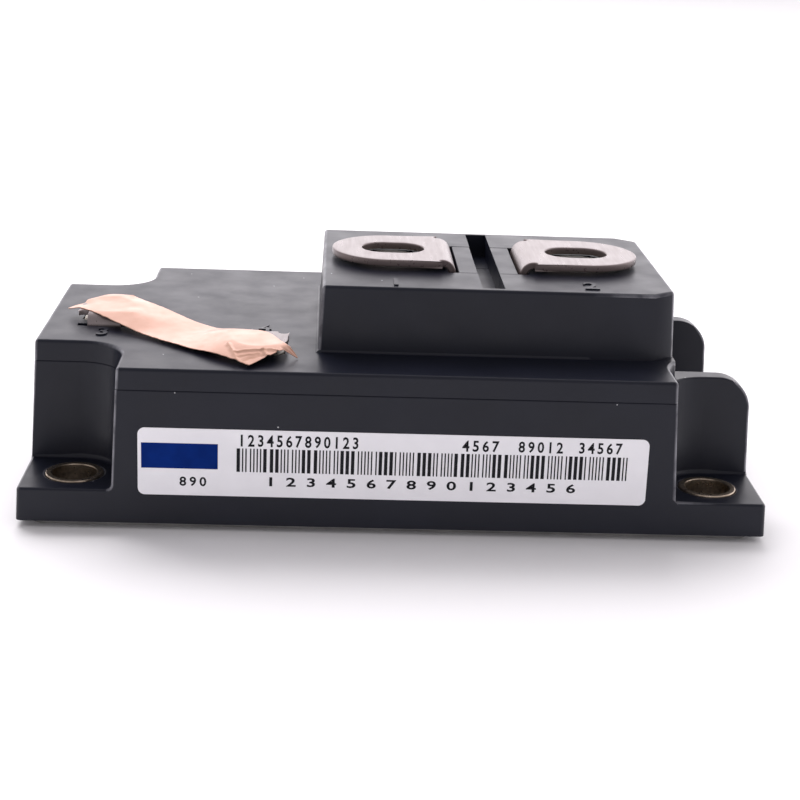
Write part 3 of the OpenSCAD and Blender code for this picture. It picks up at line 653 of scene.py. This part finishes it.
def foil_point(u, v):
    """A point of the foil: u runs 0 to 1 from the sense end, v 0 to 1 from the front edge."""
    s = (u - 0.5) * foil_l
    along = s + ragged_end * noise.noise(Vector((v * 6, 3.0, 50 * (u > 0.5))))
    across = (v - 0.5) * foil_w
    across += ragged_side * noise.noise(Vector((s * 1.1, 30 * (v > 0.5), 0.0)))
    # the sense end has a tongue at its front corner, and its back corner is rounded off
    sense_end = 1 - smooth_rise(s, -19.5, -16.5)
    along += (tongue * hump(v, 0.1, 0.36) + rounded_off * smooth_rise(v, 0.6, 1.0) ** 2) * sense_end
    # the gate end was cut askew, and a torn tip of it is folded down over the plate's side
    across -= max(v - 0.5, 0) * askew * smooth_rise(s, 11.5, 19.5)
    tip = hump(v, 0.72, 1.0) * smooth_rise(s, 18.6, 19.5)
    along += tip_out * tip
    across += tip_back * tip
    place = foil_middle + (foil_along * along + foil_across * across) * mm
    # it hangs between the plates, a little higher in front, and lies over each of them
    hanging = lid_z + (hang_rise - hang_tilt * v) * mm
    over_sense = plate_z + on_plate - sense_fall * past_plate(place, screws["sense_screw"], -1)
    over_gate = plate_z + on_plate - gate_fall * past_plate(place, screws["gate_screw"], 1)
    # its sense end curls: up at the back corner and in the middle, down at the front corner
    over_sense += back_curl * mm * (1 - smooth_rise(s, -18.5, -14)) * smooth_rise(v, 0.45, 0.85)
    over_sense += middle_curl * mm * hump(v, 0.2, 1.0) * sense_end
    over_sense -= front_droop * mm * sense_end * (1 - smooth_rise(v, 0.05, 0.4))
    z = higher(hanging, higher(over_sense, over_gate))
    z += crease_height(s, v * foil_w) * mm
    z += waviness * noise.noise(Vector((s * 0.3, v * 1.6, 9.0))) * mm
    z -= tip_down * mm * tip
    return Vector((place.x, place.y, max(z, lid_z + on_lid)))


foil = bmesh.new()
bmesh.ops.create_grid(foil, x_segments=300, y_segments=90, size=0.5)
bent = foil.verts.layers.float.new("bent")
# painted shade darkens the creases, up to this share of the dark colour
most_bent = 0.35
for vert in foil.verts:
    u, v = vert.co.x + 0.5, vert.co.y + 0.5
    vert[bent] = min(2 * abs(crease_height((u - 0.5) * foil_l, v * foil_w)), most_bent)
    vert.co = foil_point(u, v)
copper = finish("bare_foil", (0.68, 0.41, 0.31), 0.42, 0.7)
between(copper, grain(copper, 3 * mm, 4.0), (0.67, 0.40, 0.30), (0.74, 0.46, 0.36))
# painted shade: the creases darker brown
over(copper, drawn(copper, "bent"), (0.42, 0.22, 0.13))
dimples = grain(copper, 0.4 * mm, 3.0, (0.2, 0.2, 1))
between(copper, dimples, 0.28, 0.40, "Roughness")
relief(copper, dimples, 0.01 * mm)
foil_piece = shown_as(foil, "copper_foil", copper, "copper_foil", "shorting_foil")
skin = foil_piece.modifiers.new("thickness", "SOLIDIFY")
skin.thickness = foil_t
skin.offset = 0.0


# ---- Studio ---------------------------------------------------------------------------
# A white table that runs back out of sight, under a white sky that is brighter at the back.
# A soft lamp hangs behind the module, to its left.

bpy.ops.mesh.primitive_plane_add(size=8.0)
table = bpy.context.object
table.name = "table"
table.data.materials.append(finish("white_table", (0.93, 0.925, 0.93), 0.6))

world = bpy.data.worlds.new("studio")
bpy.context.scene.world = world
world.use_nodes = True
sky = world.node_tree
heading = sky.nodes.new("ShaderNodeTexCoord")
turn = sky.nodes.new("ShaderNodeMapping")
turn.inputs["Rotation"].default_value = (0, 0, math.radians(30))
parts = sky.nodes.new("ShaderNodeSeparateXYZ")
sky.links.new(heading.outputs["Generated"], turn.inputs["Vector"])
sky.links.new(turn.outputs["Vector"], parts.inputs["Vector"])
towards_back = span(world, parts.outputs["Y"], -0.2, 1.0, 0.75, 2.25)
overhead = span(world, parts.outputs["Z"], 0.22, 0.62, 1.0, 0.62)
for brightness in (towards_back, overhead):
    brightness.node.interpolation_type = "SMOOTHSTEP"
background = sky.nodes["Background"]
background.inputs["Color"].default_value = (1.0, 0.965, 1.0, 1.0)
sky.links.new(both(world, towards_back, overhead), background.inputs["Strength"])

softbox = bpy.data.lights.new("softbox", "AREA")
softbox.shape = "RECTANGLE"
softbox.size = 0.7
softbox.size_y = 0.5
softbox.energy = 6.6
softbox.color = (1.0, 0.97, 1.0)
lamp = bpy.data.objects.new("softbox", softbox)
lamp.visible_glossy = False
bpy.context.scene.collection.objects.link(lamp)
lamp_at = Vector((-0.2, 0.48, 0.6))
towards_module = lamp_at.to_track_quat("Z", "Y").to_matrix().to_4x4()
lamp.matrix_world = Matrix.Translation(lamp_at) @ towards_module
bpy.context.scene.view_settings.view_transform = "Standard"

camera_at = Vector((-10.22, -257.95, 92.73)) * mm
pitch, yaw, roll = (math.radians(angle) for angle in (17.65, -2.63, 2.27))
forward = Vector((-math.sin(yaw) * math.cos(pitch),
                  math.cos(yaw) * math.cos(pitch),
                  -math.sin(pitch)))
level = Vector((math.cos(yaw), math.sin(yaw), 0))
upright = level.cross(forward)
right = math.cos(roll) * level + math.sin(roll) * upright
up = math.cos(roll) * upright - math.sin(roll) * level
lens = bpy.data.cameras.new("camera")
lens.sensor_width = 36.0
lens.lens = 76.4
lens.clip_start = 0.01
camera = bpy.data.objects.new("camera", lens)
bpy.context.scene.collection.objects.link(camera)
facing_module = Matrix((right, up, -forward)).transposed().to_4x4()
camera.matrix_world = Matrix.Translation(camera_at) @ facing_module
bpy.context.scene.camera = camera
